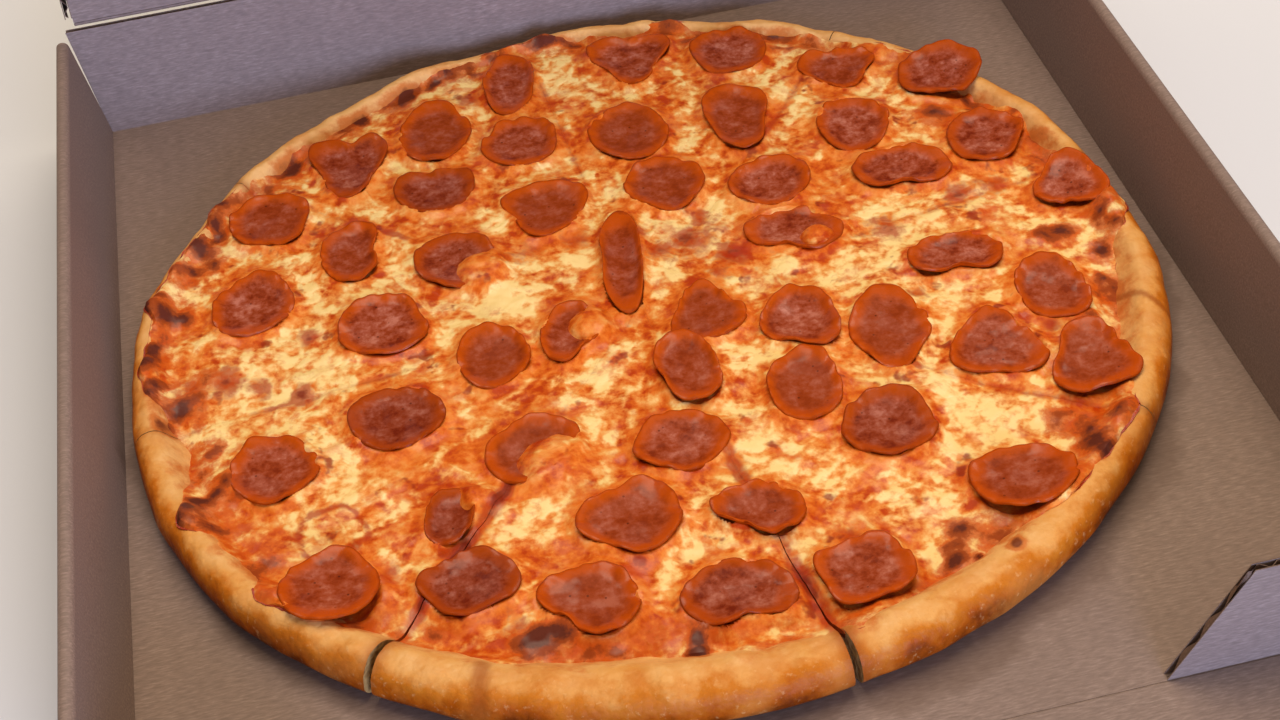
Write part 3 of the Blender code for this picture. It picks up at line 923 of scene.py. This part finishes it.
DOUGH_RING = [(0.1 * (0.01 + 0.99 * k / 20), 0.01) for k in range(21)]
DOUGH_RING += [(0.1 * (1 + k / 28), 0.01) for k in range(1, 29)]
DOUGH_RING += [(0.2, 0.01 * (1 - k / 6)) for k in range(1, 6)]
DOUGH_RING += [(0.1 * s, 0.0) for s in (1.6, 1.2, 0.8, 0.4, 0.02)]
print("points in the dough's cross-section:", len(DOUGH_RING))

# %% [markdown]
# ### Sauce and cheese
# The sauce peeps out a little beyond the cheese. The cheese is thickest in
# the middle, thins to nothing on the rim, and its edge wanders in and out.

# %% Sauce and cheese layers


def cheese_edge(angle, radius):
    """How far out the cheese reaches at an angle."""
    c, s = math.cos(angle), math.sin(angle)
    wander = ripple(c, s, 16, 2.0, 0.8)
    return radius - bare_at(angle) / 1000 + 0.0013 * wander


def groove(angle, r):
    """How deep the cheese dips along the cuts."""
    deep = 0.0
    for cut in CUTS:
        off = off_cut(angle, cut) * r
        wide, depth = (0.0036, 2.6) if cut in OPEN_CUTS else (0.0022, 0.8)
        depth *= max(0.1, min(1.0, (r - 0.02) / 0.09))
        deep = max(deep, depth * math.exp(-(off / wide) ** 2))
    return deep * 0.0006 * (0.6 + noise.noise(Vector((r * 60, angle * 3, 8.0))))


def sauce_point(along, level, angle):
    """Where a point of the sauce's ring lies, under the cheese and just past it."""
    radius, bare, crest = crust(angle)
    c, s = math.cos(angle), math.sin(angle)
    edge = cheese_edge(angle, radius) + 0.0004 + 0.0012 * drift(c, s, 25, 5.0)
    r = edge * along / 0.1
    shows = clamp((r - edge + 0.0045) / 0.003)
    base = dough_height(r, angle, radius, bare, crest)
    return r, base + (0.0016 * shows - 0.0014 if level > 0.005 else -0.0030), edge


def cheese_point(along, level, angle):
    """Where a point of the cheese's ring lies, with its lumps and grooves."""
    radius, bare, crest = crust(angle)
    edge = cheese_edge(angle, radius)
    r = edge * along / 0.1
    base = dough_height(r, angle, radius, bare, crest)
    if level < 0.005:
        return r, base - 0.0010, edge
    full = fullness(r, edge)
    x, y = r * math.cos(angle), r * math.sin(angle)
    lumps = 0.00080 * ripple(x, y, 60, 0.3, 0.75)
    ridges = 0.00030 * (1 - 2 * abs(drift(x, y, 190, 7.1)))
    puff = 0.0013 * min(1.0, blister_at(x, y))
    top = full * (0.0038 + lumps + ridges - groove(angle, r)) + min(1.0, 4 * full) * puff
    return r, base + 0.0002 + top, edge


SAUCE_RING = [(0.1 * part, 0.01) for part in (0.012, 0.3, 0.6, 0.8, 0.9)]
SAUCE_RING += [(0.1 * (0.92 + 0.08 * k / 22), 0.01) for k in range(23)]
NEAR_EDGE = (1.0, 0.985, 0.97, 0.955, 0.94, 0.92, 0.9)
SAUCE_RING += [(0.1 * part, 0.0) for part in NEAR_EDGE + (0.85, 0.8, 0.6, 0.3, 0.02)]
CHEESE_RING = [(0.1 * (0.006 + 0.994 * k / 130), 0.01) for k in range(131)]
CHEESE_RING += [(0.1 * part, 0.0) for part in NEAR_EDGE + (0.8, 0.6, 0.4, 0.2, 0.012)]

for number in range(1, len(CUTS) + 1):
    dough = add_layer("dough", number, DOUGH_RING, 96, dough_point, CUT_GAP, [CRUST, CRUMB])
    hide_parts("slice_%d" % number)
    for face in dough.data.polygons:
        if len(face.vertices) > 4:
            face.material_index = 1
    add_layer("sauce", number, SAUCE_RING, 96, sauce_point, CUT_GAP, [SAUCE])
    add_layer("cheese", number, CHEESE_RING, 110, cheese_point, CHEESE_GAP, [CHEESE])
print("layers:", 3 * len(CUTS), "dough faces in the last slice:", len(dough.data.polygons))

# %% [markdown]
# ## Kraft board
# The box is brown kraft board: matt paper with short fibres, and faint lines where the fluting shows through.
# Close round the pizza and under it the floor is painted darker, as painted shade of the pizza, and the raw
# cut edges are a darker brown.

# %% Board finishes
LINER = 0.00035
SHEET = 0.00022
FLUTE_PITCH = 0.0066
BOARD = 0.003


def make_board(name, low, middle, high):
    mat, tree, shader, place = finish(name)
    fibre = node(tree, "Mapping", inputs={"Vector": place, "Scale": (260.0, 1400.0, 1400.0)})
    threads = grain(fibre.outputs[0], 1.0, 3.0, 0.6)
    clouds = grain(place, 14.0, 3.0)
    base = ramp(threads, [(0.30, low), (0.55, middle), (0.75, high)])
    base = stain(base, step(clouds, 0.4, 0.7), 0.25, low)
    # Painted shade: the floor is darkened inside a wobbly ring just wider than the pizza, so it looks shaded
    # close round it.
    around = node(tree, "VectorMath", {"operation": "MULTIPLY"}, {0: place, 1: (1.0, 1.0, 0.0)}).outputs[0]
    away = node(tree, "VectorMath", {"operation": "LENGTH"}, {0: around}).outputs["Value"]
    edge_wobble = calc("SUBTRACT", grain(place, 40.0), 0.5)
    shade_reach = calc("MULTIPLY_ADD", edge_wobble, 0.030, away)
    oil_and_shade = step(shade_reach, RADIUS + 0.004, RADIUS - 0.004)
    base = stain(base, oil_and_shade, 0.45, (84, 56, 36))
    feed(shader, {"Base Color": base, "Roughness": 0.70})
    lines = node(tree, "TexWave", {"bands_direction": "X", "wave_profile": "SIN"},
                 {"Vector": place, "Scale": 45.0, "Distortion": 0.3, "Detail": 1.0, "Detail Scale": 0.4})
    fluting = calc("MULTIPLY", lines.outputs["Fac"], 0.5)
    height = calc("MULTIPLY_ADD", threads, 0.12, fluting)
    relief(shader, height, 0.00022)
    return mat


PAPER = make_board("kraft_board_paper", (118, 96, 82), (136, 112, 97), (154, 130, 114))
CORE = make_board("kraft_board_core", (92, 66, 48), (108, 80, 60), (122, 94, 74))
print("materials:", PAPER.name, CORE.name)

# %% [markdown]
# ## Corrugated panels
# Corrugated board is two flat liners with a wavy sheet glued between them,
# and the wave shows at every cut edge. One helper makes a panel flat on the
# ground with its three sheets, trims slanted sides, and stands it in place.
# A fold bends the liner round a corner, so it is a strip of an arc.

# %% Helpers for board


def add_slab(low, high):
    """A closed box between two corners."""
    deselect()
    bpy.ops.mesh.primitive_cube_add(size=1)
    obj = bpy.context.object
    middle = [(a + b) / 2 for a, b in zip(low, high)]
    edit_all()
    bpy.ops.transform.resize(value=[b - a for a, b in zip(low, high)])
    bpy.ops.transform.translate(value=middle)
    leave_edit()
    return obj


def thicken(obj, thickness):
    """Give a thin face its thickness, half to either side."""
    wall = obj.modifiers.new("wall", "SOLIDIFY")
    wall.thickness = thickness
    wall.offset = 0
    bpy.ops.object.modifier_apply(modifier="wall")


def add_flutes(low, high, thick):
    """The wavy sheet, its waves following each other along x."""
    width, depth = high[0] - low[0], high[1] - low[1]
    waves = max(2, round(width / FLUTE_PITCH))
    deselect()
    bpy.ops.mesh.primitive_grid_add(x_subdivisions=waves * 6, y_subdivisions=1, size=1)
    obj = bpy.context.object
    swing = thick / 2 - LINER - 0.00012
    for vert in obj.data.vertices:
        along = vert.co.x + 0.5
        level = thick / 2 + swing * math.sin(along * waves * math.tau)
        vert.co = (low[0] + along * width, low[1] + (vert.co.y + 0.5) * depth, level)
    thicken(obj, SHEET)
    return obj


print("waves to a metre:", round(1 / FLUTE_PITCH))

# %% Panels and folds


def panel(name, low, high, place, body, trims=(), thick=BOARD):
    """A corrugated panel from low to high, trimmed and put in its place."""
    inset = 0.0003
    sheets = [add_slab((low[0], low[1], 0.0), (high[0], high[1], LINER)),
              add_slab((low[0], low[1], thick - LINER), (high[0], high[1], thick))]
    flutes = add_flutes((low[0] + inset, low[1] + inset), (high[0] - inset, high[1] - inset), thick)
    for sheet in sheets + [flutes]:
        sheet.data.materials.append(PAPER)
        sheet.data.materials.append(CORE)
        for face in sheet.data.polygons:
            face.material_index = 0 if sheet is not flutes and abs(face.normal.z) > 0.5 else 1
    pick(*sheets, flutes)
    bpy.ops.object.join()
    obj = sheets[0]
    obj.name = name
    for point, normal in trims:
        edit_all()
        bpy.ops.mesh.bisect(plane_co=point, plane_no=normal, use_fill=True, clear_outer=True)
        leave_edit()
    obj.data.transform(place)
    obj.data.update()
    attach(obj, body)
    return obj


def fold(name, start, end, centre, radius, first, last, place, body):
    """A liner bent round an edge along x: an arc from angle first to last."""
    steps = 10
    deselect()
    bpy.ops.mesh.primitive_grid_add(x_subdivisions=1, y_subdivisions=steps, size=1)
    obj = bpy.context.object
    obj.name = name
    for vert in obj.data.vertices:
        turn = math.radians(first + (vert.co.y + 0.5) * (last - first))
        vert.co = (start if vert.co.x < 0 else end,
                   centre[0] + (radius - LINER / 2) * math.cos(turn),
                   centre[1] + (radius - LINER / 2) * math.sin(turn))
    thicken(obj, LINER)
    obj.data.materials.append(PAPER)
    bpy.ops.object.shade_smooth_by_angle(angle=math.radians(35))
    obj.data.transform(place)
    obj.data.update()
    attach(obj, body)
    return obj


X, Y, Z = Vector((1, 0, 0)), Vector((0, 1, 0)), Vector((0, 0, 1))


def axes(along, up, out, origin):
    """A matrix that carries x, y and z to three directions."""
    turn = Matrix((along, up, out)).transposed().to_4x4()
    return Matrix.Translation(origin) @ turn


print("board helpers ready")

# %% [markdown]
# ## The tray
# The floor runs on into the front panel, which is laid down flat. The side
# walls are the board folded over on itself, so each is two panels with a
# round fold on top. The back wall is one panel, and a cut corner tab stands
# at each end of the front.

# %% Tray panels
FLOOR_HALF = 0.2015
HALF_DEPTH = 0.20775
LEAN = 0.14
WALL_TOP = 0.053
PANEL_REACH = 0.0525
LAYER = 0.00268
TAB_REACH, TAB_SLOPE, TAB_TOP = 0.082, 0.024, 0.047

slant = math.sqrt(1 + LEAN * LEAN)
flat = Matrix.Identity(4)
tray = [
    panel("board_floor", (-FLOOR_HALF - 0.0024, -HALF_DEPTH), (FLOOR_HALF + 0.0024, HALF_DEPTH), flat, "box"),
    panel("board_front", (-FLOOR_HALF + 0.002, -HALF_DEPTH - PANEL_REACH),
          (FLOOR_HALF - 0.002, -HALF_DEPTH - 0.0005), flat, "box")]
hinge_strip = add_slab((-FLOOR_HALF + 0.003, -HALF_DEPTH - 0.002, 0.0004),
                       (FLOOR_HALF - 0.003, -HALF_DEPTH + 0.001, 0.00285))
hinge_strip.name = "board_crease"
hinge_strip.data.materials.append(PAPER)
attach(hinge_strip, "box")
tray.append(hinge_strip)

for side in (-1, 1):
    word = "left" if side < 0 else "right"
    out = Vector((side, 0, -LEAN)).normalized()
    up = Vector((side * LEAN, 0, 1)).normalized()
    foot = Vector((side * FLOOR_HALF, 0, BOARD))
    top = (WALL_TOP - 0.0028 - BOARD) * slant
    inner = axes(side * Y, up, out, foot)
    outer = axes(side * Y, up, out, foot + out * (LAYER + 0.0001))
    bend = LAYER + 0.00005
    tray += [
        panel("board_%s_inner" % word, (-HALF_DEPTH, 0.0003), (HALF_DEPTH, top), inner, "box", thick=LAYER),
        panel("board_%s_outer" % word, (-HALF_DEPTH, -BOARD + 0.0008), (HALF_DEPTH, top), outer, "box",
              thick=LAYER),
        fold("board_%s_top" % word, -HALF_DEPTH, HALF_DEPTH, (top, bend), bend, -90, 90, inner, "box")]

back_up = Vector((0, LEAN, 1)).normalized()
back_out = Vector((0, 1, -LEAN)).normalized()
back = axes(-X, back_up, back_out, Vector((0, HALF_DEPTH, BOARD)))
reach = FLOOR_HALF + LEAN * (WALL_TOP - BOARD) + 0.0006
sides = [((side * (FLOOR_HALF + 0.0004), 0, 0), (side, -LEAN, 0)) for side in (-1, 1)]
tray.append(panel("board_back", (-reach, -BOARD + 0.0008), (reach, (WALL_TOP - BOARD) * slant - 0.0003),
                  back, "box", sides))

for side in (-1, 1):
    word = "left" if side < 0 else "right"
    stand = axes(X, Z, -Y, Vector((0, -HALF_DEPTH + BOARD, BOARD)))
    inside, outside = side * (FLOOR_HALF - TAB_REACH), side * (FLOOR_HALF + LEAN * TAB_TOP)
    tall = TAB_TOP - BOARD
    trims = [((inside, 0, 0), (-side * tall, TAB_SLOPE, 0)),
             ((side * (FLOOR_HALF - 0.0002), 0, 0), (side, -LEAN, 0))]
    tray.append(panel("board_tab_%s" % word, (min(inside, outside), 0.0002), (max(inside, outside), tall),
                      stand, "box", trims))
for piece in tray:
    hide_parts("tray")
print("tray pieces:", len(tray))

# %% [markdown]
# ## The lid
# The lid is modelled closed, with its flaps hanging down, and then swung
# open round the fold by the same angle as the solid one.

# %% Lid panels
FOLD_AT = (0.0, HALF_DEPTH + LEAN * (WALL_TOP - BOARD) + BOARD / 2, WALL_TOP + 0.0006 + BOARD / 2)
LID_OPEN = 102.0
LID_LENGTH = FOLD_AT[1] + HALF_DEPTH + 0.0015 + BOARD
LID_EDGE = FLOOR_HALF + LEAN * (FOLD_AT[2] - BOARD) - 0.0016
LID_SIDE = LID_EDGE - BOARD
LID_FRONT = -LID_LENGTH + BOARD
FLAP_DEPTH, FRONT_FLAP = 0.026, 0.0475

opened = Matrix.Translation(FOLD_AT) @ Matrix.Rotation(-math.radians(LID_OPEN), 4, "X")
half = BOARD / 2
lid = [
    panel("board_lid", (-LID_SIDE, LID_FRONT), (LID_SIDE, -0.0012),
          opened @ Matrix.Translation((0, 0, -half)), "lid"),
    fold("board_lid_hinge", -LID_SIDE, LID_SIDE, (-0.0010, 0.0), 0.0016, -90, 90, opened, "lid")]
front = axes(X, Z, -Y, Vector((0, LID_FRONT, 0)))
trims = [((side * (LID_EDGE - 0.0002), 0, 0), (side * (FRONT_FLAP + BOARD), -0.006, 0))
         for side in (-1, 1)]
lid += [
    panel("board_lid_front", (-LID_EDGE, -half - FRONT_FLAP), (LID_EDGE, half - BOARD),
          opened @ front, "lid", trims),
    fold("board_lid_front_fold", -LID_SIDE, LID_SIDE, (LID_FRONT, half - BOARD), BOARD,
         90, 180, opened, "lid")]
for side in (-1, 1):
    word = "left" if side < 0 else "right"
    down = Vector((side * LEAN, 0, 1)).normalized()
    out = Vector((side, 0, -LEAN)).normalized()
    hang = axes(side * Y, down, out, Vector((side * LID_SIDE, 0, half - BOARD)))
    ends = sorted((side * (-LID_LENGTH + 0.016), side * -0.012))
    over = axes(side * Y, side * X, Z, Vector())
    lid += [
        panel("board_lid_%s" % word, (ends[0], -FLAP_DEPTH - 0.0002), (ends[1], 0.0), opened @ hang, "lid"),
        fold("board_lid_%s_fold" % word, ends[0], ends[1], (LID_SIDE, half - BOARD), BOARD, 0, 90,
             opened @ over, "lid")]
for piece in lid:
    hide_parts("lid")
print("lid pieces:", len(lid))
